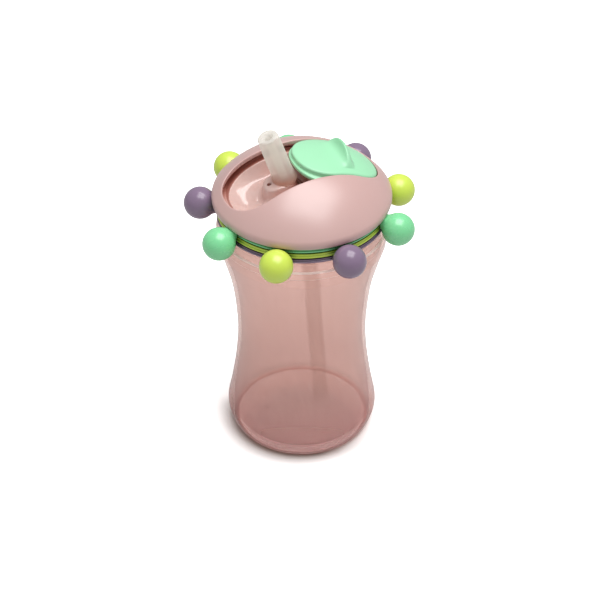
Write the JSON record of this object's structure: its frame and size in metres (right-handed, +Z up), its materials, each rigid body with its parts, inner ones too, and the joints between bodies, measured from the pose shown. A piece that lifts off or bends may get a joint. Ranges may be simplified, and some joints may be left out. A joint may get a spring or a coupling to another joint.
{
  "type": "toddler straw cup",
  "caption": "Waisted toddler cup with a screw-on lid, bead rings that spin under it, and a curved cover that slides over a soft folding straw spout.",
  "frame": {"origin": "centre of the cup's foot, on the surface it stands on", "axes": "+Z up along the cup's axis; +X along the cover's track, from the spout towards the opened cover; +Y across the track"},
  "size_m": [0.1069, 0.1073, 0.1663],
  "materials": {
    "cup_pink": "translucent tinted copolyester, glossy outside",
    "lid_pink": "glossy moulded",
    "dome_pink": "fine satin moulded",
    "mint": "satin gloss moulded",
    "lime": "satin gloss moulded",
    "purple": "satin gloss moulded",
    "spout_silicone": "milky translucent silicone",
    "straw_clear": "milky translucent plastic",
    "seal_white": "white silicone"
  },
  "bodies": {
    "cup": {"cup_body": "cup_pink"},
    "gasket": {"lid_gasket": "seal_white"},
    "lid": {"lid_base": "lid_pink", "lid_dome": "dome_pink", "straw_tube": "straw_clear", "vent_valve": "seal_white"},
    "cover": {"slide_cover": "mint"},
    "spout": {"straw_spout": "spout_silicone"},
    "ring_mint_body": {"ring_mint": "mint", "bead_mint_1": "mint", "bead_mint_2": "mint", "bead_mint_3": "mint"},
    "ring_lime_body": {"ring_lime": "lime", "bead_lime_1": "lime", "bead_lime_2": "lime", "bead_lime_3": "lime"},
    "ring_purple_body": {"ring_purple": "purple", "bead_purple_1": "purple", "bead_purple_2": "purple", "bead_purple_3": "purple"}
  },
  "joints": [
    {"name": "lid_rise", "type": "slide", "parent": "cup", "child": "gasket", "axis": [0, 0, 1], "range_m": [0, 0.0062]},
    {"name": "lid_turn", "type": "hinge", "parent": "gasket", "child": "lid", "pos_m": [0, 0, 0.12], "axis": [0, 0, 1], "range_deg": [0, 630]},
    {"name": "cover_slide", "type": "hinge", "parent": "lid", "child": "cover", "pos_m": [0, 0, 0.1], "axis": [0, -1, 0], "range_deg": [0, 40.5]},
    {"name": "spout_fold", "type": "hinge", "parent": "lid", "child": "spout", "pos_m": [-0.007, 0, 0.1433], "axis": [0, -1, 0], "range_deg": [0, 90.1], "deforming": ["straw_spout"]},
    {"name": "ring_mint_turn", "type": "hinge", "parent": "lid", "child": "ring_mint_body", "pos_m": [0, 0, 0.1237], "axis": [0, 0, 1], "continuous": true},
    {"name": "ring_lime_turn", "type": "hinge", "parent": "ring_mint_body", "child": "ring_lime_body", "pos_m": [0, 0, 0.1237], "axis": [0, 0, 1], "range_deg": [-19.5, 10.5]},
    {"name": "ring_purple_turn", "type": "hinge", "parent": "ring_mint_body", "child": "ring_purple_body", "pos_m": [0, 0, 0.1237], "axis": [0, 0, 1], "range_deg": [-10.5, 22]}
  ],
  "couplings": [
    {"joint": "lid_rise", "follows": "lid_turn", "m_per_rad": 0.00055704},
    {"joint": "spout_fold", "follows": "cover_slide", "ratio": 2.2222}
  ]
}
